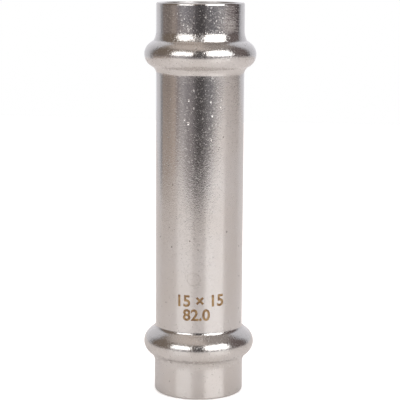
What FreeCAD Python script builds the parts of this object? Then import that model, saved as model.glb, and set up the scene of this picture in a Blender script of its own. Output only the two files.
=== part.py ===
"""Press slip coupling for thin-walled 15 mm water tube, in millimetres.

A length of stainless tube is formed with a bead near each end. Inside, each bead
is a chamber that carries a rubber ring, which seals on the water tube once the
bead is pressed. The bore has no stop, so the coupling slides right over a tube.

The origin is the middle of the lower mouth, and Z runs along the axis to the
upper mouth. The sketches lie in the XZ plane: across is the radius, up is Z.
"""

import FreeCAD
import Part
import Sketcher
import math
import os

SIZES = [
    ("pipe_diameter", 15.0, "outside of the water tube that slides in"),
    ("pipe_gap", 0.15, "from the water tube to the barrel's bore, on each side"),
    ("wall", 1.5, "thickness of the formed tube"),
    ("overall_length", 82.0, "from mouth to mouth"),
    ("bead_setback", 10.6, "from each mouth to the middle of its bead"),
    ("seal_section", 2.5, "thickness of the rubber ring"),
    ("seal_pipe_gap", 0.05, "from the water tube to the ring, before pressing"),
    ("seal_chamber_gap", 0.05, "from the ring to the crest of its chamber"),
    ("mouth_fillet", 2.7, "outside curve between a bead and its collar"),
    ("barrel_fillet", 1.7, "outside curve between a bead and the barrel"),
    ("lower_mouth_flare", 0.17, "how far the lower collar stands out past the barrel"),
    ("edge_rounding", 0.5, "outer edge of each mouth"),
    ("lead_rounding", 0.3, "inner edge of each mouth"),
]

doc = FreeCAD.newDocument("press_slip_coupling")
sheet = doc.addObject("Spreadsheet::Sheet", "Sizes")
for row, (alias, size, meaning) in enumerate(SIZES, start=1):
    sheet.set(f"A{row}", alias)
    sheet.set(f"B{row}", str(size))
    sheet.set(f"C{row}", meaning)
    sheet.setAlias(f"B{row}", alias)
doc.recompute()

# Radii from the axis, as expressions on the sheet
BORE = "(Sizes.pipe_diameter / 2 + Sizes.pipe_gap)"
BARREL = f"({BORE} + Sizes.wall)"
LOWER_COLLAR = f"({BARREL} + Sizes.lower_mouth_flare)"
UPPER_COLLAR = BARREL
SEAL_CIRCLE = "(Sizes.pipe_diameter / 2 + Sizes.seal_pipe_gap + Sizes.seal_section / 2)"

# The crest of a bead is an arc about the same centre as the section of its ring
CREST = "(Sizes.seal_section / 2 + Sizes.seal_chamber_gap + Sizes.wall)"

# Heights of the middle of each bead
LOWER_BEAD = "Sizes.bead_setback"
UPPER_BEAD = "(Sizes.overall_length - Sizes.bead_setback)"

BEADS = [
    # name, height, then wall and fillet below the crest, then wall and fillet above it
    ("lower", LOWER_BEAD, LOWER_COLLAR, "Sizes.mouth_fillet", BARREL, "Sizes.barrel_fillet"),
    ("upper", UPPER_BEAD, BARREL, "Sizes.barrel_fillet", UPPER_COLLAR, "Sizes.mouth_fillet"),
]


def value(expression):
    """Work out an expression on the sheet as a plain number."""
    return float(sheet.evalExpression(expression))


def new_sketch(body, name):
    """Add a sketch to a body, on the body's own XZ plane."""
    sketch = body.newObject("Sketcher::SketchObject", name)
    plane = [item for item in body.Origin.OriginFeatures if item.Role == "XZ_Plane"]
    sketch.AttachmentSupport = (plane[0], "")
    sketch.MapMode = "FlatFace"
    return sketch


def dimension(sketch, name, kind, where, expression):
    """Add a named dimension to a sketch and bind it to an expression."""
    number = sketch.addConstraint(Sketcher.Constraint(kind, *where, value(expression)))
    sketch.renameConstraint(number, name)
    sketch.setExpression(f"Constraints.{name}", expression)


def add_line(sketch, radius, bottom, top):
    """Add a straight wall up the sketch and return its number and its two ends."""
    foot = FreeCAD.Vector(radius, bottom, 0)
    head = FreeCAD.Vector(radius, top, 0)
    number = sketch.addGeometry(Part.LineSegment(foot, head))
    sketch.addConstraint(Sketcher.Constraint("Vertical", number))
    return (number, 1, 2)


def add_arc(sketch, across, height, radius, start, end):
    """Add an arc that runs counter-clockwise from one angle to another."""
    circle = Part.Circle(FreeCAD.Vector(across, height, 0), FreeCAD.Vector(0, 0, 1), radius)
    return sketch.addGeometry(Part.ArcOfCircle(circle, start, end))


def rise_to_fillet(wall, fillet):
    """Height from a crest's centre to a fillet's centre, where both arcs just touch."""
    reach = value(f"{fillet} + {CREST}")
    across = value(f"{wall} + {fillet} - {SEAL_CIRCLE}")
    return math.sqrt(reach**2 - across**2)


def add_bead(sketch, skin, inset, bead):
    """Add one bead to an outline: fillet, crest and fillet, from the bottom up.

    The inset is the depth below the outer skin. It widens the fillets and tightens
    the crest about the same centres, so the wall keeps its thickness all the way.
    """
    name, height, low_wall, low_fillet, high_wall, high_fillet = bead
    crest = f"{CREST} - {inset}"
    turns = []
    for wall, fillet in ((low_wall, low_fillet), (high_wall, high_fillet)):
        rise = rise_to_fillet(wall, fillet)
        across = value(f"{wall} + {fillet}")
        turns.append((across, rise, math.atan2(rise, across - value(SEAL_CIRCLE))))
    low_across, low_rise, low_turn = turns[0]
    high_across, high_rise, high_turn = turns[1]
    middle = value(height)
    low = add_arc(
        sketch,
        low_across,
        middle - low_rise,
        value(f"{low_fillet} + {inset}"),
        math.pi - low_turn,
        math.pi,
    )
    top = add_arc(sketch, value(SEAL_CIRCLE), middle, value(crest), -low_turn, high_turn)
    high = add_arc(
        sketch,
        high_across,
        middle + high_rise,
        value(f"{high_fillet} + {inset}"),
        math.pi,
        math.pi + high_turn,
    )
    stem = f"{skin}_{name}"
    dimension(sketch, f"{stem}_low_fillet", "Radius", (low,), f"{low_fillet} + {inset}")
    dimension(sketch, f"{stem}_crest", "Radius", (top,), crest)
    dimension(sketch, f"{stem}_high_fillet", "Radius", (high,), f"{high_fillet} + {inset}")
    # Point 3 of an arc is its centre, and points 1 and 2 are its start and its end
    dimension(sketch, f"{stem}_seal_circle", "DistanceX", (top, 3), SEAL_CIRCLE)
    dimension(sketch, f"{stem}_height", "DistanceY", (top, 3), height)
    return [(low, 2, 1), (top, 1, 2), (high, 2, 1)]


def add_outline(sketch, skin, inset):
    """Add one skin of the wall from mouth to mouth and return its first and last line."""
    length = value("Sizes.overall_length")
    lower, upper = BEADS
    low_end = value(lower[1]) - rise_to_fillet(lower[2], lower[3])
    barrel_start = value(lower[1]) + rise_to_fillet(lower[4], lower[5])
    barrel_end = value(upper[1]) - rise_to_fillet(upper[2], upper[3])
    high_start = value(upper[1]) + rise_to_fillet(upper[4], upper[5])
    collar = add_line(sketch, value(f"{LOWER_COLLAR} - {inset}"), 0, low_end)
    lower_bead = add_bead(sketch, skin, inset, lower)
    barrel = add_line(sketch, value(f"{BARREL} - {inset}"), barrel_start, barrel_end)
    upper_bead = add_bead(sketch, skin, inset, upper)
    top_collar = add_line(sketch, value(f"{UPPER_COLLAR} - {inset}"), high_start, length)
    path = [collar] + lower_bead + [barrel] + upper_bead + [top_collar]
    for (below, _, leaves), (above, enters, _) in zip(path, path[1:]):
        sketch.addConstraint(Sketcher.Constraint("Tangent", below, leaves, above, enters))
    walls = (
        ("lower_collar", collar, LOWER_COLLAR),
        ("barrel", barrel, BARREL),
        ("upper_collar", top_collar, UPPER_COLLAR),
    )
    for name, (line, foot, _), radius in walls:
        dimension(sketch, f"{skin}_{name}", "DistanceX", (line, foot), f"{radius} - {inset}")
    sketch.addConstraint(Sketcher.Constraint("PointOnObject", collar[0], collar[1], -1))
    top_end = (top_collar[0], top_collar[2])
    dimension(sketch, f"{skin}_length", "DistanceY", top_end, "Sizes.overall_length")
    return collar, top_collar


def join_ends(sketch, outer, inner, end, height):
    """Close the wall across one mouth with a straight line."""
    points = []
    for line in (outer, inner):
        corner = sketch.getPoint(line[0], line[end])
        points.append(FreeCAD.Vector(corner.x, height, 0))
    face = sketch.addGeometry(Part.LineSegment(points[0], points[1]))
    sketch.addConstraint(Sketcher.Constraint("Coincident", face, 1, outer[0], outer[end]))
    sketch.addConstraint(Sketcher.Constraint("Coincident", face, 2, inner[0], inner[end]))


def revolve(body, sketch, name):
    """Turn a sketch all the way round the Z axis."""
    feature = body.newObject("PartDesign::Revolution", name)
    feature.Profile = sketch
    feature.ReferenceAxis = (sketch, ["V_Axis"])
    feature.Angle = 360.0
    sketch.Visibility = False
    return feature


def mouth_edges(feature, lower_radius, upper_radius):
    """Name the round edges of a feature that lie in its two mouths at the given radii."""
    wanted = [(0.0, value(lower_radius)), (value("Sizes.overall_length"), value(upper_radius))]
    names = []
    for number, edge in enumerate(feature.Shape.Edges, start=1):
        if not isinstance(edge.Curve, Part.Circle):
            continue
        found = (edge.Curve.Center.z, edge.Curve.Radius)
        if any(math.dist(found, place) < 0.001 for place in wanted):
            names.append(f"Edge{number}")
    if len(names) != len(wanted):
        raise RuntimeError(f"{len(names)} edges found at the mouths")
    return names


def round_edges(body, base, name, edges, alias):
    """Round the named edges of a feature by one of the sheet's sizes."""
    feature = body.newObject("PartDesign::Fillet", name)
    feature.Base = (base, edges)
    feature.setExpression("Radius", f"Sizes.{alias}")
    doc.recompute()
    return feature


def make_coupling_body():
    """Make the formed tube: two collars, two hollow beads and the barrel between them."""
    body = doc.addObject("PartDesign::Body", "CouplingBody")
    body.Label = "coupling_body"
    sketch = new_sketch(body, "WallSection")
    outer = add_outline(sketch, "outer", "0")
    inner = add_outline(sketch, "inner", "Sizes.wall")
    join_ends(sketch, outer[0], inner[0], 1, 0)
    join_ends(sketch, outer[1], inner[1], 2, value("Sizes.overall_length"))
    tube = revolve(body, sketch, "FormedTube")
    doc.recompute()
    outside = mouth_edges(tube, LOWER_COLLAR, UPPER_COLLAR)
    rounded = round_edges(body, tube, "OuterEdges", outside, "edge_rounding")
    inside = mouth_edges(rounded, f"{LOWER_COLLAR} - Sizes.wall", f"{UPPER_COLLAR} - Sizes.wall")
    round_edges(body, rounded, "LeadIn", inside, "lead_rounding")
    return body


def make_seal(name, label, height):
    """Make one rubber ring and set it at the height of its bead."""
    body = doc.addObject("PartDesign::Body", name)
    body.Label = label
    sketch = new_sketch(body, f"{name}Section")
    middle = FreeCAD.Vector(value(SEAL_CIRCLE), 0, 0)
    radius = value("Sizes.seal_section / 2")
    ring = sketch.addGeometry(Part.Circle(middle, FreeCAD.Vector(0, 0, 1), radius))
    sketch.addConstraint(Sketcher.Constraint("PointOnObject", ring, 3, -1))
    dimension(sketch, "seal_circle", "DistanceX", (ring, 3), SEAL_CIRCLE)
    dimension(sketch, "section", "Diameter", (ring,), "Sizes.seal_section")
    revolve(body, sketch, f"{name}Ring")
    body.setExpression("Placement.Base.z", height)
    return body


def check_model(bodies):
    """Stop if any object failed, any sketch is loose, or any piece isn't one sound solid."""
    for item in doc.Objects:
        if "Invalid" in item.State or "Error" in item.State:
            raise RuntimeError(f"{item.Name} failed: {item.State}")
        if item.TypeId == "Sketcher::SketchObject" and not item.FullyConstrained:
            raise RuntimeError(f"{item.Name} isn't fully constrained")
    for body in bodies:
        shape = body.Shape
        if shape.isNull() or not shape.isValid() or len(shape.Solids) != 1:
            raise RuntimeError(f"{body.Label} isn't one valid solid")


parts = [
    make_coupling_body(),
    make_seal("LowerSeal", "lower_seal", LOWER_BEAD),
    make_seal("UpperSeal", "upper_seal", UPPER_BEAD),
]
doc.recompute()
check_model(parts)

os.makedirs("parts", exist_ok=True)
for part in parts:
    part.Shape.exportStep(f"parts/{part.Label}.step")
    box = part.Shape.BoundBox
    extent = f"{box.XLength:.2f} x {box.YLength:.2f} x {box.ZLength:.2f}"
    print(f"{part.Label}: {extent} mm from z {box.ZMin:.2f}, {part.Shape.Volume:.1f} mm3")
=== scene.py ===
import math
from collections import namedtuple

import bpy
from bpy.props import FloatProperty, FloatVectorProperty, IntProperty, PointerProperty, StringProperty
from bpy.types import Operator, Panel, PropertyGroup
from mathutils import Matrix, Vector


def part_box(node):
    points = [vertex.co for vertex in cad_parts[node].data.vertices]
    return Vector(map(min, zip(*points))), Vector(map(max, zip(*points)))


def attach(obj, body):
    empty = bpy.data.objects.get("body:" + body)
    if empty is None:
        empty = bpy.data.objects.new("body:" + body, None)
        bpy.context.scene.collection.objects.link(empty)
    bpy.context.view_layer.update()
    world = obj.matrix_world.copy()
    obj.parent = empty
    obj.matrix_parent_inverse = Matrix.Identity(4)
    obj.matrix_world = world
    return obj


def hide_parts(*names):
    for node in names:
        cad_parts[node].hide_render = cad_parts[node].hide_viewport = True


bl_info = {
    "name": "Press Slip Coupling",
    "version": (1, 0, 0),
    "blender": (4, 5, 0),
    "location": "3D View > Sidebar > Coupling",
    "description": "Dresses a press slip coupling: formed steel tube, rubber rings and size mark",
    "category": "Object",
}

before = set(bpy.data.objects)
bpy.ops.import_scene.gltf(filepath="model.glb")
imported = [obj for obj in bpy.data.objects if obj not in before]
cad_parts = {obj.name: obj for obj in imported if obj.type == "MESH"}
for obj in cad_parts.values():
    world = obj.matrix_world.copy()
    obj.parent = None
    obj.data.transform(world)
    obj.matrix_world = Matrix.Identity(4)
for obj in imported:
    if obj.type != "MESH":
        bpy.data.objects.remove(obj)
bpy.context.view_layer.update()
TUBE_LOW, TUBE_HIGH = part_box("coupling_body")
RING_LOW, RING_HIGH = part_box("lower_seal")

MM = 0.001
SMALLEST_STEP = 1e-6
PICTURE_SIZE = 400
SENSOR_WIDTH = 36.0
WHITE = (1.0, 1.0, 1.0)
BLACK = (0.0, 0.0, 0.0)

# Marks on the steel: pixel across and pixel down in the camera's view, and radius in millimetres.
# The size of the dried drop is one of the settings.
BRIGHT_NICKS = (
    (193.6, 90.8, 0.24),
    (188.7, 100.6, 0.27),
    (193.6, 108.7, 0.21),
    (184.6, 119.8, 0.24),
    (188.2, 123.6, 0.36),
    (211.2, 102.1, 0.24),
    (221.3, 100.2, 0.22),
    (220.8, 106.9, 0.24),
    (212.5, 116.1, 0.26),
    (211.4, 140.2, 0.25),
    (187.0, 206.0, 0.20),
    (189.5, 212.5, 0.20),
)
DARK_PITS = (
    (168.6, 137.5, 0.16),
    (223.5, 137.0, 0.16),
    (172.6, 184.4, 0.18),
    (169.0, 227.0, 0.16),
    (198.0, 250.0, 0.14),
)
SCUFFS = (
    (186.5, 29.5, 2.1),
    (200.0, 40.0, 1.3),
    (231.0, 21.0, 2.4),
)
DRIED_DROP = (193.6, 279.5)

# The upright panels: directions of the left and right edges in degrees to the right of the
# camera's side, elevations of the lower and upper edges, and share of the panels' strength. They
# are measured from the coupling's axis, at the panels' level.
PanelPlace = namedtuple("PanelPlace", "name left right low high share")
LEFT_PANEL = PanelPlace("left_panel", -60.5, -18.5, 12.0, 37.5, 0.97)
RIGHT_PANEL = PanelPlace("right_panel", 17.0, 67.5, 12.0, 46.0, 1.45)
PANEL_LEVEL = 50 * MM

# The room's colours by degrees to the right of the camera's side: its foot is about level with
# the coupling, and its skirt is below that.
ROOM_FOOT = (
    (-125.0, (0.24, 0.205, 0.195)),
    (-88.0, (0.165, 0.138, 0.128)),
    (-70.0, (0.34, 0.29, 0.265)),
    (-61.0, (0.20, 0.172, 0.177)),
    (-50.0, (0.235, 0.225, 0.245)),
    (-41.0, (0.245, 0.235, 0.258)),
    (-33.0, (0.19, 0.182, 0.20)),
    (-18.0, (0.18, 0.168, 0.182)),
    (-9.0, (0.07, 0.065, 0.068)),
    (7.0, (0.07, 0.065, 0.068)),
    (19.0, (0.165, 0.156, 0.166)),
    (27.0, (0.115, 0.112, 0.128)),
    (41.0, (0.135, 0.135, 0.155)),
    (56.0, (0.215, 0.205, 0.222)),
    (66.0, (0.26, 0.24, 0.25)),
    (80.0, (0.235, 0.21, 0.215)),
    (94.0, (0.13, 0.105, 0.107)),
    (108.0, (0.06, 0.047, 0.05)),
)
ROOM_SKIRT = (
    (-86.0, (0.45, 0.38, 0.335)),
    (-70.0, (0.54, 0.45, 0.395)),
    (-61.0, (0.355, 0.31, 0.30)),
    (-52.0, (0.49, 0.455, 0.45)),
    (-43.0, (0.49, 0.455, 0.45)),
    (-34.0, (0.33, 0.30, 0.30)),
    (-24.0, (0.29, 0.262, 0.262)),
    (-8.0, (0.105, 0.097, 0.098)),
    (6.0, (0.105, 0.097, 0.098)),
    (20.0, (0.215, 0.205, 0.21)),
    (30.0, (0.31, 0.295, 0.30)),
    (41.0, (0.60, 0.57, 0.56)),
    (54.0, (0.82, 0.785, 0.765)),
    (65.0, (0.74, 0.695, 0.675)),
    (77.0, (0.465, 0.42, 0.41)),
    (104.0, (0.44, 0.38, 0.37)),
)


def length_mm(name, description, default_mm, low_mm=0.0, high_mm=1000.0):
    """A length that the user gives in millimetres and Blender keeps in metres."""
    return FloatProperty(
        name=name,
        description=description,
        default=default_mm * MM,
        min=low_mm * MM,
        max=high_mm * MM,
        precision=5,
        unit="LENGTH",
    )


def turn(name, description, default_degrees):
    """An angle shown in degrees."""
    return FloatProperty(
        name=name, description=description, default=math.radians(default_degrees), subtype="ANGLE"
    )


def share(name, description, default, high=1.0):
    """A plain number from nought upwards."""
    return FloatProperty(name=name, description=description, default=default, min=0.0, max=high)


def tint(name, description, default):
    """A linear colour."""
    return FloatVectorProperty(
        name=name, description=description, default=default, subtype="COLOR", size=3, min=0.0, max=4.0
    )


class CouplingTubeSizes(PropertyGroup):
    """Sizes of the formed tube, measured on its outside unless they say otherwise."""

    overall_length: FloatProperty(
        name="Overall length",
        description="From mouth to mouth",
        default=TUBE_HIGH.z - TUBE_LOW.z,
        precision=5,
        unit="LENGTH",
    )
    barrel_radius: length_mm("Barrel radius", "Outside of the straight barrel", 9.15)
    wall: length_mm("Wall", "Thickness of the formed tube", 1.5)
    lower_flare: length_mm("Lower flare", "How far the lower collar stands out", 0.17)
    bead_setback: length_mm("Bead setback", "From each mouth to the middle of its bead", 10.6)
    bead_circle: length_mm("Bead circle", "Radius of the circle that each crest is drawn about", 8.8)
    crest_rounding: length_mm("Crest rounding", "Outside rounding of each crest", 2.8)
    mouth_fillet: length_mm("Mouth fillet", "Curve between a bead and its collar", 2.7)
    barrel_fillet: length_mm("Barrel fillet", "Curve between a bead and the barrel", 1.7)
    flare_rounding: length_mm("Flare rounding", "Gentle curve at the foot of the upper collar", 4.4)
    neck_rounding: length_mm("Neck rounding", "Tight curve between that and the upper bead", 0.7)
    shoulder_tilt: turn("Shoulder tilt", "Tilt at which each crest passes into its shoulder", 45.0)
    neck_tilt: turn("Neck tilt", "Tilt at which the upper shoulder passes into the neck", 60.0)
    flare_tilt: turn("Flare tilt", "Tilt at which the neck passes into the flare", 25.0)
    lower_neck_rounding: length_mm("Lower neck rounding", "Curve between lower bead and barrel", 0.9)
    lower_neck_tilt: turn("Lower neck tilt", "Tilt at which the lower shoulder meets it", 55.0)
    edge_rounding: length_mm("Edge rounding", "Outer edge of each mouth", 0.5)
    lead_rounding: length_mm("Lead rounding", "Inner edge of the lower mouth", 0.3)
    rim_rounding: length_mm("Rim rounding", "Gentle outer curve of the upper mouth", 0.62)
    rim_tilt: turn("Rim tilt", "Tilt at which that curve ends", 35.0)
    rim_corner: length_mm("Rim corner", "Small rounding of the upper mouth's edges", 0.12)
    steps_round: IntProperty(
        name="Steps round", description="Faces round the tube", default=240, min=32, max=360
    )


class RubberRingSizes(PropertyGroup):
    """Sizes of the rubber ring in each bead."""

    ring_circle: FloatProperty(
        name="Ring circle",
        description="Radius of the circle through the middle of the section",
        default=(RING_HIGH.x - RING_LOW.x) / 2 - (RING_HIGH.z - RING_LOW.z) / 2,
        precision=5,
        unit="LENGTH",
    )
    section: FloatProperty(
        name="Section",
        description="Thickness of the ring",
        default=RING_HIGH.z - RING_LOW.z,
        precision=5,
        unit="LENGTH",
    )
    moulding_line: length_mm("Moulding line", "Height of the fine ridge left by the mould", 0.03)
    moulding_half: length_mm("Moulding half width", "Half the width of that ridge", 0.06)
    colour: tint("Colour", "Rubber", (0.028, 0.028, 0.03))


class SizeMarkSettings(PropertyGroup):
    """The plain size figures on the barrel."""

    upper_row: StringProperty(
        name="Upper row", description="Tube size at each end, in millimetres", default="15 × 15"
    )
    lower_row: StringProperty(
        name="Lower row", description="Overall length, in millimetres", default="82.0"
    )
    upper_width: length_mm("Upper width", "Length of the upper row", 9.8)
    lower_width: length_mm("Lower width", "Length of the lower row", 5.7)
    figure_height: length_mm("Figure height", "Height of the figures", 2.5)
    upper_height: length_mm("Upper height", "Middle of the upper row above the lower mouth", 21.08)
    lower_height: length_mm("Lower height", "Middle of the lower row above the lower mouth", 18.12)
    upper_shift: length_mm("Upper shift", "Middle of the upper row, round the barrel", 0.45, -30.0)
    lower_shift: length_mm("Lower shift", "Middle of the lower row, round the barrel", -0.5, -30.0)
    slope: turn("Slope", "How far the rows lean", -0.7)
    stroke: length_mm("Stroke", "How far the figures are thickened", 0.10)
    thickness: length_mm("Thickness", "Depth of the mark", 0.05)
    proud: length_mm("Proud", "How far the mark stands off the steel", 0.012)
    colour: tint("Colour", "Burnt oxide of the mark", (0.27, 0.165, 0.085))
    thin_colour: tint("Thin colour", "Oxide where it is thin", (0.47, 0.33, 0.17))


class SteelFinishSettings(PropertyGroup):
    """The satin stainless steel and its small marks."""

    colour: tint("Colour", "Clean steel", (0.728, 0.716, 0.708))
    warm_colour: tint("Warm colour", "Faintly warmer places", (0.71, 0.688, 0.668))
    stain_colour: tint("Stain colour", "Dried drop on the barrel", (0.58, 0.555, 0.53))
    pit_colour: tint("Pit colour", "Dark specks", (0.16, 0.13, 0.11))
    roughness: share("Roughness", "Roughness of clean steel", 0.115)
    streak: share("Streak", "How far the gloss is drawn out along the tube", 0.45)
    cloudy_dulling: share("Cloudy dulling", "Roughness that wide patches add or take", 0.04)
    matt_dulling: share("Matt dulling", "Roughness added in small matt specks", 0.23)
    stain_dulling: share("Stain dulling", "Roughness added in the dried drop", 0.06)
    bead_dulling: share("Bead dulling", "Roughness added on both beads", 0.075)
    bore_dulling: share("Bore dulling", "Roughness added in the bore", 0.3)
    grain: length_mm("Grain", "Depth of the fine grain", 0.035)
    barrel_grain: share("Barrel grain", "Share of the grain on the lower barrel", 0.58)
    upper_grain: share("Upper grain", "Grain added on the upper barrel", 0.22)
    collar_grain: share("Collar grain", "Grain added on the upper collar", 0.5)
    bead_grain: share("Bead grain", "Grain added on both beads", 0.6)
    scuff_grain: share("Scuff grain", "Grain added in each scuff", 2.4, 10.0)
    stain_size: length_mm("Stain size", "Diameter of the dried drop", 2.9)


class StudioSettings(PropertyGroup):
    """The camera, the table, the backdrop, the lights and the room's plain colours."""

    focal_pixels: FloatProperty(
        name="Focal length", description="In pixels of a picture 400 wide", default=1501.24, min=100.0
    )
    camera_back: length_mm("Camera back", "From the axis of the coupling to the camera", 311.58)
    camera_height: length_mm("Camera height", "Above the lower mouth", 91.245)
    camera_aside: length_mm("Camera aside", "To the right of the coupling's axis", 0.115)
    camera_pitch: turn("Camera pitch", "How far the camera looks down", 9.2)
    camera_roll: FloatProperty(
        name="Camera roll", description="Lean of the picture", default=0.0060, subtype="ANGLE"
    )
    table_front: length_mm("Table front", "From the axis to the table's front edge", 265.0, 0.0, 5000.0)
    table_left: length_mm("Table left", "From the axis to the table's left edge", 275.0, 0.0, 5000.0)
    table_right: length_mm("Table right", "From the axis to its right edge", 1500.0, 0.0, 5000.0)
    table_back: length_mm("Table back", "From the axis to its back edge", 520.0, 0.0, 5000.0)
    table_turn: turn("Table turn", "How far the table stands turned to the camera", -10.0)
    backdrop_far: length_mm("Backdrop distance", "From the axis to the backdrop", 1500.0, 0.0, 9000.0)
    backdrop_width: length_mm("Backdrop width", "From side to side", 5860.0, 0.0, 9000.0)
    backdrop_tall: length_mm("Backdrop height", "From bottom to top", 3600.0, 0.0, 9000.0)
    backdrop_aside: length_mm("Backdrop aside", "Its middle, to the right", -270.0, -3000.0, 3000.0)
    backdrop_level: length_mm("Backdrop level", "Its middle, above the table", 700.0, 0.0, 3000.0)
    table_colour: tint("Table colour", "Pale warm table", (0.765, 0.733, 0.718))
    table_roughness: share("Table roughness", "Roughness of the table", 0.36)
    table_sheen: share("Table sheen", "How much the table mirrors", 0.42)
    backdrop_colour: tint("Backdrop colour", "White backdrop", (0.90, 0.89, 0.93))
    table_glow: share("Table glow", "Light added to the table where the camera sees it", 0.55)
    panel_strength: share("Panel strength", "Brightness of each panel, where 1 is white", 2.5, 10.0)
    top_strength: share("Top strength", "Brightness of the overhead light", 0.96, 10.0)
    top_height: length_mm("Top height", "Overhead light above the table", 2450.0, 0.0, 5000.0)
    top_forward: length_mm("Top forward", "Overhead light in front of the axis", 100.0, 0.0, 5000.0)
    top_size: length_mm("Top size", "Each side of the overhead light", 3400.0, 0.0, 9000.0)
    ceiling_colour: tint("Ceiling colour", "Room above the panels", (0.42, 0.375, 0.345))
    dim_ceiling_colour: tint("Dim ceiling colour", "Ceiling on the right", (0.28, 0.25, 0.235))
    zenith_colour: tint("Zenith colour", "Ceiling straight above", (0.62, 0.54, 0.49))
    left_wall_colour: tint("Left wall colour", "Room on the left", (0.20, 0.16, 0.13))
    right_wall_colour: tint("Right wall colour", "Room on the right", (0.16, 0.13, 0.125))
    glow_colour: tint("Glow colour", "Soft lower edge of the panels", (0.50, 0.48, 0.47))
    gap_colour: tint("Gap colour", "Room between the panels", (0.075, 0.068, 0.07))


# Mesh helpers

# A curve between a straight wall and a crest: across to its centre, its rise, and how far it turns.
Fillet = namedtuple("Fillet", "across rise turn")


def clear_selection():
    """Leave edit mode and deselect every object."""
    if bpy.context.object and bpy.context.object.mode != "OBJECT":
        bpy.ops.object.mode_set(mode="OBJECT")
    bpy.ops.object.select_all(action="DESELECT")


def select_only(piece):
    """Select one object and make it the active one."""
    clear_selection()
    piece.select_set(True)
    bpy.context.view_layer.objects.active = piece


def apply_place(piece):
    """Put the object's place, turn and scale into its mesh."""
    select_only(piece)
    bpy.ops.object.transform_apply(location=True, rotation=True, scale=True)


def apply_modifiers(piece):
    """Apply every modifier of a piece, from the first to the last."""
    select_only(piece)
    for modifier in list(piece.modifiers):
        bpy.ops.object.modifier_apply(modifier=modifier.name)


def close_and_face_out(piece):
    """Merge the seams of a closed shell and make its faces point outwards."""
    select_only(piece)
    bpy.ops.object.mode_set(mode="EDIT")
    bpy.ops.mesh.select_all(action="SELECT")
    bpy.ops.mesh.remove_doubles(threshold=SMALLEST_STEP)
    bpy.ops.mesh.normals_make_consistent(inside=False)
    bpy.ops.object.mode_set(mode="OBJECT")
    clear_selection()


def shade_smooth(piece, degrees):
    """Shade a piece smooth, except across edges sharper than an angle."""
    select_only(piece)
    bpy.ops.object.shade_smooth_by_angle(angle=math.radians(degrees))
    clear_selection()


class Outline:
    """A section drawn as edges in the XZ plane, where across is the radius and up is Z."""

    def __init__(self, name, across, height):
        clear_selection()
        bpy.ops.mesh.primitive_plane_add(size=MM, location=(across, 0.0, height))
        self.piece = bpy.context.object
        self.piece.name = name
        self.piece.data.name = name
        bpy.ops.object.transform_apply(location=True, rotation=True, scale=True)
        bpy.ops.object.mode_set(mode="EDIT")
        bpy.ops.mesh.select_all(action="SELECT")
        bpy.ops.mesh.merge(type="CENTER")
        self.across = across
        self.height = height

    def line_to(self, across, height):
        """Draw a straight wall from the last point."""
        step = (across - self.across, 0.0, height - self.height)
        bpy.ops.mesh.extrude_region_move(TRANSFORM_OT_translate={"value": step})
        self.across = across
        self.height = height

    def wall_to(self, height, guard):
        """Draw a wall straight up or down, with a short piece at each end that keeps it straight."""
        way = math.copysign(guard, height - self.height)
        self.line_to(self.across, self.height + way)
        self.line_to(self.across, height - way)
        self.line_to(self.across, height)

    def arc_about(self, across, height, angle, steps):
        """Draw an arc about a centre. A positive angle runs from across towards up."""
        bpy.ops.mesh.spin(
            steps=steps, angle=angle, center=(across, 0.0, height), axis=(0.0, 1.0, 0.0)
        )
        reach = Vector((self.across - across, self.height - height))
        sine = math.sin(angle)
        cosine = math.cos(angle)
        self.across = across + reach.x * cosine - reach.y * sine
        self.height = height + reach.x * sine + reach.y * cosine

    def arc_from_tilt(self, start, end, radius, steps):
        """Draw an arc between two tilts of the outside. A negative radius is a hollow."""
        across = self.across - radius * math.cos(start)
        height = self.height - radius * math.sin(start)
        self.arc_about(across, height, end - start, steps)

    def turn_round(self, steps):
        """Turn the closed section all the way round the Z axis and return the piece."""
        bpy.ops.mesh.select_all(action="SELECT")
        bpy.ops.mesh.remove_doubles(threshold=SMALLEST_STEP)
        bpy.ops.mesh.select_all(action="SELECT")
        bpy.ops.mesh.spin(
            steps=steps, angle=2 * math.pi, center=(0.0, 0.0, 0.0), axis=(0.0, 0.0, 1.0)
        )
        bpy.ops.object.mode_set(mode="OBJECT")
        close_and_face_out(self.piece)
        return self.piece


# Shader helpers


class Link:
    """An output of a node, on which plain arithmetic adds the nodes that work it out."""

    def __init__(self, surface, socket):
        self.surface = surface
        self.socket = socket

    def maths(self, operation, first, second):
        return self.surface.node("ShaderNodeMath", {"operation": operation}, {0: first, 1: second})

    def __add__(self, other):
        return self.maths("ADD", self, other)

    def __radd__(self, other):
        return self.maths("ADD", other, self)

    def __sub__(self, other):
        return self.maths("SUBTRACT", self, other)

    def __rsub__(self, other):
        return self.maths("SUBTRACT", other, self)

    def __mul__(self, other):
        return self.maths("MULTIPLY", self, other)

    def __rmul__(self, other):
        return self.maths("MULTIPLY", other, self)

    def __truediv__(self, other):
        return self.maths("DIVIDE", self, other)

    def __rtruediv__(self, other):
        return self.maths("DIVIDE", other, self)


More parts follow.
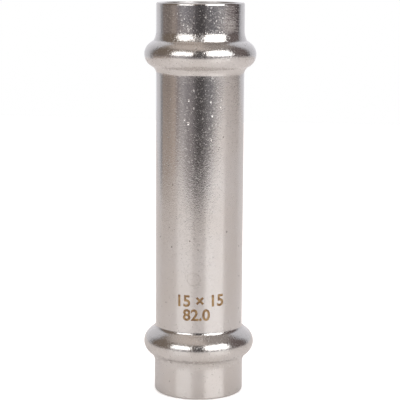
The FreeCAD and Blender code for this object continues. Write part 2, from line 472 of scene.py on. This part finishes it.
class Surface:
    """The nodes of one material or of the world."""

    def __init__(self, owner):
        owner.use_nodes = True
        self.owner = owner
        self.tree = owner.node_tree
        self.tree.nodes.clear()

    def node(self, kind, settings=None, inputs=None, output=0):
        """Add a node, set it, fill its inputs with values or links, and return an output."""
        node = self.tree.nodes.new(kind)
        for name, setting in (settings or {}).items():
            setattr(node, name, setting)
        for name, entry in (inputs or {}).items():
            if isinstance(entry, Link):
                self.tree.links.new(entry.socket, node.inputs[name])
            else:
                node.inputs[name].default_value = entry
        return Link(self, node.outputs[output]) if node.outputs else None

    def object_place(self):
        """Where a point lies in the frame, in metres."""
        return self.node("ShaderNodeTexCoord", output="Object")

    def parts(self, vector):
        """The three numbers of a vector."""
        return [
            self.node("ShaderNodeSeparateXYZ", None, {0: vector}, output=axis) for axis in range(3)
        ]

    def smooth_step(self, entry, start, end):
        """Nought at the start and one at the end, with a soft change between them."""
        return self.node(
            "ShaderNodeMapRange",
            {"interpolation_type": "SMOOTHSTEP"},
            {"Value": entry, "From Min": start, "From Max": end, "To Min": 0.0, "To Max": 1.0},
        )

    def band(self, entry, low, high, soft):
        """One between two numbers and nought outside them."""
        rise = self.smooth_step(entry, low - soft, low + soft)
        fall = self.smooth_step(entry, high - soft, high + soft)
        return rise - fall

    def noise(self, place, size, detail=2.0, roughness=0.5):
        """Soft noise whose features are about one size across, in metres."""
        return self.node(
            "ShaderNodeTexNoise",
            {"noise_dimensions": "3D"},
            {"Vector": place, "Scale": 1.0 / size, "Detail": detail, "Roughness": roughness},
        )

    def cells(self, place, size):
        """How far a place is from the nearest of random points about one size apart."""
        return self.node(
            "ShaderNodeTexVoronoi",
            {"feature": "F1", "distance": "EUCLIDEAN"},
            {"Vector": place, "Scale": 1.0 / size, "Randomness": 1.0},
            output="Distance",
        )

    def stretched(self, place, scale):
        """A place measured with a different scale along each axis."""
        return self.node("ShaderNodeMapping", {"vector_type": "POINT"}, {0: place, "Scale": scale})

    def mix(self, factor, first, second):
        """A colour between two others."""
        return self.node(
            "ShaderNodeMix",
            {"data_type": "RGBA", "clamp_factor": True},
            {0: factor, 6: opaque(first), 7: opaque(second)},
            output=2,
        )

    def ramp(self, entry, stops):
        """A colour that runs through stops, each a number from nought to one with its colour."""
        link = self.node("ShaderNodeValToRGB", None, {0: entry})
        elements = link.socket.node.color_ramp.elements
        elements.remove(elements[1])
        elements[0].position = stops[0][0]
        elements[0].color = opaque(stops[0][1])
        for number, colour in stops[1:]:
            elements.new(number).color = opaque(colour)
        return link

    def distance(self, place, point):
        """How far a place is from a point."""
        return self.node(
            "ShaderNodeVectorMath", {"operation": "DISTANCE"}, {0: place, 1: point}, output="Value"
        )

    def bump(self, height, distance, strength=1.0):
        """The normal of a surface that a height raises by a distance."""
        return self.node(
            "ShaderNodeBump", None, {"Strength": strength, "Distance": distance, "Height": height}
        )

    def principled(self, inputs):
        """Close the material with one principled shader and return it."""
        shader = self.node("ShaderNodeBsdfPrincipled", None, inputs)
        self.node("ShaderNodeOutputMaterial", None, {"Surface": shader})
        return self.owner


def opaque(colour):
    """A colour with its fourth number. A link stays as it is."""
    return colour if isinstance(colour, Link) else (*colour, 1.0)


def camera_view(studio):
    """Where the camera stands, and its directions to the right, up and ahead."""
    eye = Vector((studio.camera_aside, -studio.camera_back, studio.camera_height))
    pitch = studio.camera_pitch
    roll = studio.camera_roll
    level = Vector((1.0, 0.0, 0.0))
    upright = Vector((0.0, math.sin(pitch), math.cos(pitch)))
    ahead = Vector((0.0, math.cos(pitch), -math.sin(pitch)))
    right = level * math.cos(roll) + upright * math.sin(roll)
    up = upright * math.cos(roll) - level * math.sin(roll)
    return eye, right, up, ahead


def on_barrel(pixel_across, pixel_down, radius, studio):
    """Where the camera sees a pixel on the front of the barrel."""
    eye, right, up, ahead = camera_view(studio)
    middle = PICTURE_SIZE / 2
    ray = ahead * studio.focal_pixels + right * (pixel_across - middle) + up * (middle - pixel_down)
    square = ray.x**2 + ray.y**2
    half = eye.x * ray.x + eye.y * ray.y
    beyond = eye.x**2 + eye.y**2 - radius**2
    reach = (-half - math.sqrt(half**2 - square * beyond)) / square
    return eye + ray * reach


def marks_on_barrel(surface, place, marks, tube, studio):
    """How far a place is from each mark, and the mark's radius in millimetres."""
    for across, down, size in marks:
        yield surface.distance(place, on_barrel(across, down, tube.barrel_radius, studio)), size


def steel_material(finish, tube, studio):
    """Satin stainless steel with fine grain, nicks, pits, scuffs, one dried drop and a dull bore."""
    surface = Surface(bpy.data.materials.new("satin_stainless"))
    place = surface.object_place()
    cloud = surface.smooth_step(surface.noise(place, 11 * MM, detail=3.0), 0.35, 0.65)
    colour = surface.mix(cloud, finish.colour, finish.warm_colour)

    # The dried drop: a pale inside and a darker rim.
    far = surface.distance(place, on_barrel(*DRIED_DROP, tube.barrel_radius, studio))
    rim = finish.stain_size / 2
    wobble = surface.noise(place, 1.5 * MM) * (0.5 * MM)
    ring = surface.band(far + wobble, rim, rim + 0.28 * MM, 0.14 * MM)
    inside = 1.0 - surface.smooth_step(far, rim - 0.2 * MM, rim + 0.3 * MM)
    stain = ring * 0.38 + inside * 0.10
    colour = surface.mix(stain, colour, finish.stain_colour)

    # Dark pits: a few at random, and those listed.
    pit = 1.0 - surface.smooth_step(surface.cells(place, 2.9 * MM), 0.03, 0.07)
    for far, size in marks_on_barrel(surface, place, DARK_PITS, tube, studio):
        pit = pit + (1.0 - surface.smooth_step(far, 0.5 * size * MM, size * MM))
    colour = surface.mix(pit * 0.7, colour, finish.pit_colour)

    # How deep the grain is: more towards the top, on the beads and in the scuffs.
    up = surface.parts(place)[2]
    low = tube.bead_setback
    high = tube.overall_length - low
    to_mouth = 4.6 * MM
    to_barrel = 4.4 * MM
    lower_bead = surface.band(up, low - to_mouth, low + to_barrel, 1.2 * MM)
    upper_bead = surface.band(up, high - to_barrel, high + to_mouth, 1.2 * MM)
    beads = lower_bead + upper_bead
    depth = (
        finish.barrel_grain
        + surface.smooth_step(up, 42 * MM, 62 * MM) * finish.upper_grain
        + surface.smooth_step(up, 70 * MM, 75 * MM) * finish.collar_grain
        + beads * finish.bead_grain
    )
    ragged = surface.noise(place, 1.1 * MM, detail=3.0) * (1.5 * MM)
    for far, size in marks_on_barrel(surface, place, SCUFFS, tube, studio):
        scuff = 1.0 - surface.smooth_step(far + ragged, 0.6 * MM, (size + 0.9) * MM)
        depth = depth + scuff * finish.scuff_grain

    # The grain itself, drawn out along the tube and lightly dented, with the nicks.
    fine = surface.noise(place, 0.38 * MM, detail=3.0, roughness=0.6)
    micro = surface.noise(place, 0.07 * MM, detail=1.0)
    drawn = surface.noise(surface.stretched(place, (1.0, 1.0, 0.08)), 0.45 * MM)
    dent = 1.0 - surface.smooth_step(surface.cells(place, 0.62 * MM), 0.05, 0.27)
    height = (fine * 0.45 + drawn * 0.32 - dent * 0.32) * depth + micro * 0.05 - pit * 3.0
    for far, size in marks_on_barrel(surface, place, BRIGHT_NICKS, tube, studio):
        nick = 1.0 - surface.smooth_step(far, 0.2 * size * MM, size * MM)
        height = height - nick * (4.0 * size)

    radius = surface.distance(surface.stretched(place, (1.0, 1.0, 0.0)), (0.0, 0.0, 0.0))
    bore = tube.barrel_radius - tube.wall
    bored = 1.0 - surface.smooth_step(radius, bore + 0.3 * MM, bore + 0.7 * MM)
    patch = surface.noise(place, 5 * MM)
    matt = surface.smooth_step(surface.noise(place, 0.5 * MM, detail=4.0, roughness=0.75), 0.50, 0.72)
    roughness = (
        finish.roughness
        + (patch - 0.5) * finish.cloudy_dulling
        + matt * finish.matt_dulling
        + stain * finish.stain_dulling
        + beads * finish.bead_dulling
        + bored * finish.bore_dulling
    )
    return surface.principled(
        {
            "Base Color": colour,
            "Metallic": 1.0,
            "Roughness": roughness,
            "Anisotropic": finish.streak,
            "Anisotropic Rotation": 0.25,
            "Normal": surface.bump(height, finish.grain),
        }
    )


def rubber_material(rings):
    """Matt black rubber with a moulded skin."""
    surface = Surface(bpy.data.materials.new("moulded_rubber"))
    place = surface.object_place()
    bloom = surface.smooth_step(surface.noise(place, 2.5 * MM, detail=3.0), 0.4, 0.75)
    pale = tuple(min(1.0, part * 1.9) for part in rings.colour)
    colour = surface.mix(bloom * 0.5, rings.colour, pale)
    fine = surface.noise(place, 0.2 * MM, detail=3.0)
    bump = surface.bump(fine, 0.01 * MM, strength=0.6)
    return surface.principled(
        {"Base Color": colour, "Roughness": 0.42 + bloom * 0.2, "Normal": bump}
    )


def mark_material(mark):
    """Burnt brown oxide, with the steel shining through where it is thin."""
    surface = Surface(bpy.data.materials.new("burnt_size_mark"))
    place = surface.object_place()
    thin = surface.smooth_step(surface.noise(place, 0.7 * MM, detail=3.0), 0.40, 0.62)
    colour = surface.mix(thin * 0.8, mark.colour, mark.thin_colour)
    fine = surface.noise(place, 0.12 * MM)
    bump = surface.bump(fine, 0.004 * MM, strength=0.5)
    return surface.principled(
        {"Base Color": colour, "Metallic": 0.75, "Roughness": 0.42 - thin * 0.1, "Normal": bump}
    )


# Pieces


class COUPLING_OT_formed_tube(Operator):
    """Form the tube from its section: two collars, two hollow beads and the barrel"""

    bl_idname = "coupling.formed_tube"
    bl_label = "Formed Tube"

    def shoulder(self, outline, wall, tilts, hollows):
        """Draw a shoulder and its hollow curves, each tangent to the next, up to a straight wall."""
        cosines = [math.cos(tilt) for tilt in tilts] + [1.0]
        inwards = outline.across - wall
        for number, hollow in enumerate(hollows):
            inwards -= hollow * (cosines[number + 2] - cosines[number + 1])
        rounding = inwards / (cosines[0] - cosines[1])
        if rounding <= 0.0:
            raise RuntimeError("a shoulder has no room for its hollow curves")
        outline.arc_from_tilt(tilts[0], tilts[1], rounding, steps=14)
        ends = list(tilts[2:]) + [0.0]
        for start, end, hollow in zip(tilts[1:], ends, hollows):
            outline.arc_from_tilt(start, end, -hollow, steps=14)

    def execute(self, context):
        sizes = context.scene.coupling_tube
        crest = sizes.crest_rounding
        length = sizes.overall_length
        barrel = sizes.barrel_radius
        guard = 0.25 * MM
        fillets = []
        for collar in (barrel + sizes.lower_flare, barrel):
            for wall, fillet in ((collar, sizes.mouth_fillet), (barrel, sizes.barrel_fillet)):
                across = wall + fillet - sizes.bead_circle
                rise = math.sqrt((fillet + crest) ** 2 - across**2)
                fillets.append(Fillet(wall + fillet, rise, math.atan2(rise, across)))
        low_mouth, low_barrel, high_mouth, high_barrel = fillets
        low = sizes.bead_setback
        high = length - low

        outline = Outline("formed_tube", barrel + sizes.lower_flare, sizes.edge_rounding)
        outline.wall_to(low - low_mouth.rise, guard)
        outline.arc_about(low_mouth.across, low - low_mouth.rise, -low_mouth.turn, steps=18)
        outline.arc_about(sizes.bead_circle, low, low_mouth.turn + sizes.shoulder_tilt, steps=40)
        tilts = (sizes.shoulder_tilt, sizes.lower_neck_tilt)
        self.shoulder(outline, barrel, tilts, (sizes.lower_neck_rounding,))
        outline.wall_to(high - high_barrel.rise, guard)
        outline.arc_about(high_barrel.across, high - high_barrel.rise, -high_barrel.turn, steps=16)
        outline.arc_about(sizes.bead_circle, high, high_barrel.turn + sizes.shoulder_tilt, steps=40)
        tilts = (sizes.shoulder_tilt, sizes.neck_tilt, sizes.flare_tilt)
        self.shoulder(outline, barrel, tilts, (sizes.neck_rounding, sizes.flare_rounding))
        corner = sizes.rim_corner * (1.0 - math.sin(sizes.rim_tilt))
        outline.wall_to(length - corner - sizes.rim_rounding * math.sin(sizes.rim_tilt), guard)
        outline.arc_from_tilt(0.0, sizes.rim_tilt, sizes.rim_rounding, steps=8)
        outline.arc_from_tilt(sizes.rim_tilt, math.pi / 2, sizes.rim_corner, steps=5)
        bore = barrel - sizes.wall
        outline.line_to(bore + sizes.rim_corner, length)
        outline.arc_about(bore + sizes.rim_corner, length - sizes.rim_corner, math.pi / 2, steps=5)
        outline.wall_to(high + high_mouth.rise, guard)
        outline.arc_about(high_mouth.across, high + high_mouth.rise, high_mouth.turn, steps=16)
        outline.arc_about(sizes.bead_circle, high, -(high_barrel.turn + high_mouth.turn), steps=28)
        outline.arc_about(high_barrel.across, high - high_barrel.rise, high_barrel.turn, steps=14)
        outline.wall_to(low + low_barrel.rise, guard)
        outline.arc_about(low_barrel.across, low + low_barrel.rise, low_barrel.turn, steps=14)
        outline.arc_about(sizes.bead_circle, low, -(low_mouth.turn + low_barrel.turn), steps=28)
        outline.arc_about(low_mouth.across, low - low_mouth.rise, low_mouth.turn, steps=16)
        outline.wall_to(sizes.lead_rounding, guard)
        foot = bore + sizes.lower_flare
        outline.arc_about(foot + sizes.lead_rounding, sizes.lead_rounding, math.pi / 2, steps=6)
        outline.line_to(barrel + sizes.lower_flare - sizes.edge_rounding, 0.0)
        outline.arc_about(outline.across, sizes.edge_rounding, math.pi / 2, steps=7)
        if abs(outline.height - sizes.edge_rounding) > SMALLEST_STEP:
            raise RuntimeError("the tube's section doesn't close")
        tube = outline.turn_round(sizes.steps_round)
        shade_smooth(tube, degrees=35.0)
        tube.data.materials.append(
            steel_material(context.scene.coupling_steel, sizes, context.scene.coupling_studio)
        )
        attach(tube, "root")
        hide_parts("coupling_body")
        return {"FINISHED"}


class COUPLING_OT_rubber_rings(Operator):
    """Mould one rubber ring, with its fine moulding line, and set a copy in each bead"""

    bl_idname = "coupling.rubber_rings"
    bl_label = "Rubber Rings"

    def execute(self, context):
        sizes = context.scene.coupling_rings
        circle = sizes.ring_circle
        radius = sizes.section / 2
        line = math.asin(sizes.moulding_half / radius)
        beside = radius * math.cos(line)
        above = radius * math.sin(line)
        outline = Outline("lower_ring", circle + beside, above)
        outline.arc_about(circle, 0.0, math.pi - 2 * line, steps=22)
        outline.line_to(circle - radius - sizes.moulding_line, 0.0)
        outline.line_to(circle - beside, -above)
        outline.arc_about(circle, 0.0, math.pi - 2 * line, steps=22)
        outline.line_to(circle + radius + sizes.moulding_line, 0.0)
        outline.line_to(circle + beside, above)
        lower = outline.turn_round(steps=120)
        shade_smooth(lower, degrees=40.0)
        lower.data.materials.append(rubber_material(sizes))
        upper = lower.copy()
        upper.data = lower.data.copy()
        upper.name = "upper_ring"
        upper.data.name = "upper_ring"
        context.collection.objects.link(upper)
        for ring, node in ((lower, "lower_seal"), (upper, "upper_seal")):
            low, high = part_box(node)
            ring.location.z = (low.z + high.z) / 2
            apply_place(ring)
            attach(ring, "root")
            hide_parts(node)
        return {"FINISHED"}


class COUPLING_OT_size_mark(Operator):
    """Burn two rows of plain size figures into the front of the barrel"""

    bl_idname = "coupling.size_mark"
    bl_label = "Size Mark"

    # Steps along each curve of a figure, upright cuts that let a row bend, and the font size
    # that makes figures of about height one.
    curve_steps = 6
    cuts = 48
    font_share = 1.45

    def row(self, context, name, words, width, shift, height):
        """Make one row of figures, bend it round the barrel and set it at its height."""
        mark = context.scene.coupling_mark
        radius = context.scene.coupling_tube.barrel_radius
        clear_selection()
        bpy.ops.object.text_add(location=(0.0, 0.0, 0.0))
        piece = context.object
        piece.name = name
        piece.data.body = words
        piece.data.align_x = "CENTER"
        piece.data.align_y = "CENTER"
        piece.data.resolution_u = self.curve_steps
        piece.data.size = mark.figure_height * self.font_share
        piece.data.offset = mark.stroke
        bpy.ops.object.convert(target="MESH")
        piece = context.object
        piece.data.name = name
        across = [point.co.x for point in piece.data.vertices]
        tall = [point.co.y for point in piece.data.vertices]
        middle = Vector(((max(across) + min(across)) / 2, (max(tall) + min(tall)) / 2, 0.0))
        piece.location = -middle
        apply_place(piece)
        piece.scale = (
            width / (max(across) - min(across)),
            mark.figure_height / (max(tall) - min(tall)),
            1.0,
        )
        piece.rotation_euler = (math.pi / 2, mark.slope, 0.0)
        apply_place(piece)
        bpy.ops.object.mode_set(mode="EDIT")
        for number in range(1, self.cuts):
            bpy.ops.mesh.select_all(action="SELECT")
            cut = (number / self.cuts - 0.5) * width
            bpy.ops.mesh.bisect(plane_co=(cut, 0.0, 0.0), plane_no=(1.0, 0.0, 0.0))
        bpy.ops.mesh.select_all(action="SELECT")
        bpy.ops.mesh.remove_doubles(threshold=SMALLEST_STEP)
        bpy.ops.mesh.extrude_region_move(
            TRANSFORM_OT_translate={"value": (0.0, mark.thickness, 0.0)}
        )
        bpy.ops.object.mode_set(mode="OBJECT")
        close_and_face_out(piece)
        bend = piece.modifiers.new("round_the_barrel", "SIMPLE_DEFORM")
        bend.deform_method = "BEND"
        bend.deform_axis = "Z"
        bend.angle = width / (radius + mark.proud)
        apply_modifiers(piece)
        piece.location = (0.0, -radius - mark.proud, height)
        apply_place(piece)
        piece.rotation_euler = (0.0, 0.0, shift / radius)
        apply_place(piece)
        shade_smooth(piece, degrees=30.0)
        return piece

    def execute(self, context):
        mark = context.scene.coupling_mark
        material = mark_material(mark)
        rows = (
            ("size_mark_upper", mark.upper_row, mark.upper_width, mark.upper_shift, mark.upper_height),
            ("size_mark_lower", mark.lower_row, mark.lower_width, mark.lower_shift, mark.lower_height),
        )
        for name, words, width, shift, height in rows:
            piece = self.row(context, name, words, width, shift, height)
            piece.data.materials.clear()
            piece.data.materials.append(material)
            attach(piece, "root")
        return {"FINISHED"}


class COUPLING_OT_studio(Operator):
    """Set up the table, the backdrop, the soft panels, the room and the camera"""

    bl_idname = "coupling.studio"
    bl_label = "Studio"

    def lamp(self, context, name, place, facing, width, height, strength):
        """Hang one soft light."""
        clear_selection()
        bpy.ops.object.light_add(type="AREA")
        lamp = context.object
        lamp.name = name
        lamp.data.shape = "RECTANGLE"
        lamp.data.size = width
        lamp.data.size_y = height
        lamp.data.energy = strength * math.pi * width * height
        lamp.location = place
        lamp.rotation_euler = facing.to_track_quat("-Z", "Y").to_euler()
        lamp.visible_camera = False
        return lamp

    def panel(self, context, panel, strength):
        """Stand one upright panel a metre away, between its directions and elevations."""
        left, right, low, high = [math.radians(degrees) for degrees in panel[1:5]]
        way = (left + right) / 2
        toward = Vector((math.sin(way), -math.cos(way), 0.0))
        foot = math.tan(low)
        top = math.tan(high)
        place = toward + Vector((0.0, 0.0, PANEL_LEVEL + (foot + top) / 2))
        width = 2 * math.tan((right - left) / 2)
        self.lamp(context, panel.name, place, -toward, width, top - foot, strength * panel.share)

    def table_material(self, studio):
        """A pale, faintly glossy sheet that the camera sees as white, under the coupling's shadow."""
        surface = Surface(bpy.data.materials.new("pale_table"))
        seen = surface.node("ShaderNodeLightPath", output="Is Camera Ray")
        lit = (studio.table_glow, studio.table_glow, studio.table_glow)
        return surface.principled(
            {
                "Base Color": opaque(studio.table_colour),
                "Roughness": studio.table_roughness,
                "Specular IOR Level": studio.table_sheen,
                "Emission Color": surface.mix(seen, BLACK, lit),
                "Emission Strength": 1.0,
            }
        )

    def backdrop_material(self, studio):
        """A white backdrop, which the steel and any glass see too, with painted shade that makes it a
        little darker to the sides in their reflections.
        """
        surface = Surface(bpy.data.materials.new("white_backdrop"))
        across = surface.parts(surface.object_place())[0]
        aside = surface.node("ShaderNodeMath", {"operation": "ABSOLUTE"}, {0: across})
        # Painted shade: the backdrop that the steel and glass see grows darker towards its sides, as if
        # less lit there.
        near_painted_shade = surface.smooth_step(aside, 0.1, 1.2) * 0.22
        far_painted_shade = surface.smooth_step(aside, 1.4, 2.8) * 0.45
        camera = surface.node("ShaderNodeLightPath", output="Is Camera Ray")
        glossy = surface.node("ShaderNodeLightPath", output="Is Glossy Ray")
        clear = surface.node("ShaderNodeLightPath", output="Is Transmission Ray")
        strength = camera + (glossy + clear) * (0.98 - (near_painted_shade + far_painted_shade))
        cloth = studio.backdrop_colour
        diffuse = surface.node("ShaderNodeBsdfDiffuse", None, {"Color": opaque(cloth)})
        tinted = surface.mix(camera, cloth, WHITE)
        glow = surface.node("ShaderNodeEmission", None, {"Color": tinted, "Strength": strength})
        seen = camera + glossy + clear
        both = surface.node("ShaderNodeMixShader", None, {0: seen, 1: diffuse, 2: glow})
        surface.node("ShaderNodeOutputMaterial", None, {"Surface": both})
        return surface.owner

    def sheet(self, context, name, size, place, turned, material):
        """Add one flat sheet of the stage, given its size, its middle and how it is turned."""
        clear_selection()
        bpy.ops.mesh.primitive_plane_add(size=1.0, location=place, rotation=turned)
        sheet = context.object
        sheet.name = name
        sheet.scale = (size[0], size[1], 1.0)
        apply_place(sheet)
        sheet.data.materials.append(material)

    def sector(self, surface, around, left, right, soft):
        """One between two directions, in degrees from the camera's side, and nought outside them."""
        return surface.band(around, math.radians(left), math.radians(right), math.radians(soft))

    def room_by_direction(self, surface, around, rows):
        """A ramp of colours round the room, where each row gives degrees from the camera's side."""
        stops = [(0.5 + degrees / 360.0, shade) for degrees, shade in rows]
        return surface.ramp(around / (2 * math.pi) + 0.5, stops)

    def room(self, context, studio):
        """Paint the room by direction for what the lights and the steel see of it."""
        world = bpy.data.worlds.new("room")
        context.scene.world = world
        surface = Surface(world)
        way = surface.node("ShaderNodeTexCoord", output="Generated")
        x, y, z = surface.parts(way)
        back = surface.node("ShaderNodeMath", {"operation": "MULTIPLY"}, {0: y, 1: -1.0})
        around = surface.node("ShaderNodeMath", {"operation": "ARCTAN2"}, {0: x, 1: back})
        right = surface.smooth_step(around, 0.0, 0.6)
        colour = surface.mix(right, studio.left_wall_colour, studio.right_wall_colour)
        gap = self.sector(surface, around, -11.0, 10.0, 2.5)
        colour = surface.mix(gap, colour, studio.gap_colour)
        foot = self.room_by_direction(surface, around, ROOM_FOOT)
        colour = surface.mix(1.0 - surface.smooth_step(z, 0.03, 0.12), colour, foot)
        skirt = self.room_by_direction(surface, around, ROOM_SKIRT)
        colour = surface.mix(1.0 - surface.smooth_step(z, -0.11, -0.05), colour, skirt)
        glow = self.sector(surface, around, LEFT_PANEL.left, RIGHT_PANEL.right, 3.0)
        gap = self.sector(surface, around, LEFT_PANEL.right, RIGHT_PANEL.left, 1.5)
        glow = (glow - gap) * surface.band(z, 0.09, 0.22, 0.04)
        colour = surface.mix(glow, colour, studio.glow_colour)
        overhead = surface.smooth_step(z, 0.74, 0.95)
        above = surface.mix(overhead, studio.ceiling_colour, studio.zenith_colour)
        aside = self.sector(surface, around, 34.0, 140.0, 18.0)
        above = surface.mix(aside * 0.8, above, studio.dim_ceiling_colour)
        colour = surface.mix(surface.smooth_step(z, 0.70, 0.84), colour, above)
        seen = surface.node("ShaderNodeLightPath", output="Is Camera Ray")
        colour = surface.mix(seen, colour, WHITE)
        glow = surface.node("ShaderNodeBackground", None, {"Color": colour, "Strength": 1.0})
        surface.node("ShaderNodeOutputWorld", None, {"Surface": glow})

    def camera(self, context, studio):
        """Set the camera at the photograph's view."""
        data = bpy.data.cameras.new("photo_view")
        camera = bpy.data.objects.new("photo_view", data)
        context.collection.objects.link(camera)
        data.sensor_fit = "HORIZONTAL"
        data.sensor_width = SENSOR_WIDTH
        data.lens = studio.focal_pixels * SENSOR_WIDTH / PICTURE_SIZE
        data.clip_start = 10 * MM
        eye, right, up, ahead = camera_view(studio)
        camera.location = eye
        camera.rotation_euler = Matrix((right, up, -ahead)).transposed().to_euler()
        context.scene.camera = camera

    def execute(self, context):
        studio = context.scene.coupling_studio
        across = (studio.table_right - studio.table_left) / 2
        depth = (studio.table_back - studio.table_front) / 2
        table_size = (studio.table_right + studio.table_left, studio.table_back + studio.table_front)
        middle = Matrix.Rotation(studio.table_turn, 3, "Z") @ Vector((across, depth, 0.0))
        level = (0.0, 0.0, studio.table_turn)
        self.sheet(context, "table", table_size, middle, level, self.table_material(studio))
        back_size = (studio.backdrop_width, studio.backdrop_tall)
        middle = (studio.backdrop_aside, studio.backdrop_far, studio.backdrop_level)
        upright = (math.pi / 2, 0.0, 0.0)
        self.sheet(
            context, "backdrop", back_size, middle, upright, self.backdrop_material(studio)
        )
        self.panel(context, LEFT_PANEL, studio.panel_strength)
        self.panel(context, RIGHT_PANEL, studio.panel_strength)
        overhead = Vector((0.0, -studio.top_forward, studio.top_height))
        down = Vector((0.0, 0.0, -1.0))
        side = studio.top_size
        top = self.lamp(context, "top_light", overhead, down, side, side, studio.top_strength)
        top.visible_glossy = False
        self.room(context, studio)
        self.camera(context, studio)
        context.scene.view_settings.view_transform = "Standard"
        return {"FINISHED"}


class COUPLING_PT_pieces(Panel):
    """The coupling's pieces and its stage, in the order in which they are made"""

    bl_idname = "COUPLING_PT_pieces"
    bl_label = "Press Slip Coupling"
    bl_space_type = "VIEW_3D"
    bl_region_type = "UI"
    bl_category = "Coupling"

    def draw(self, context):
        for name, settings, operator in SETTINGS:
            box = self.layout.box()
            for field in settings.__annotations__:
                box.prop(getattr(context.scene, name), field)
            if operator:
                box.operator(operator.bl_idname)


# Where the scene keeps each group of settings, the group, and the operator that it belongs to. The
# finish is read by the tube's operator.
SETTINGS = (
    ("coupling_steel", SteelFinishSettings, None),
    ("coupling_tube", CouplingTubeSizes, COUPLING_OT_formed_tube),
    ("coupling_rings", RubberRingSizes, COUPLING_OT_rubber_rings),
    ("coupling_mark", SizeMarkSettings, COUPLING_OT_size_mark),
    ("coupling_studio", StudioSettings, COUPLING_OT_studio),
)


def register():
    for name, settings, operator in SETTINGS:
        bpy.utils.register_class(settings)
        setattr(bpy.types.Scene, name, PointerProperty(type=settings))
        if operator:
            bpy.utils.register_class(operator)
    bpy.utils.register_class(COUPLING_PT_pieces)


def unregister():
    bpy.utils.unregister_class(COUPLING_PT_pieces)
    for name, settings, operator in reversed(SETTINGS):
        if operator:
            bpy.utils.unregister_class(operator)
        delattr(bpy.types.Scene, name)
        bpy.utils.unregister_class(settings)


def main():
    register()
    bpy.ops.coupling.formed_tube()
    bpy.ops.coupling.rubber_rings()
    bpy.ops.coupling.size_mark()
    bpy.ops.coupling.studio()


if __name__ == "__main__":
    main()
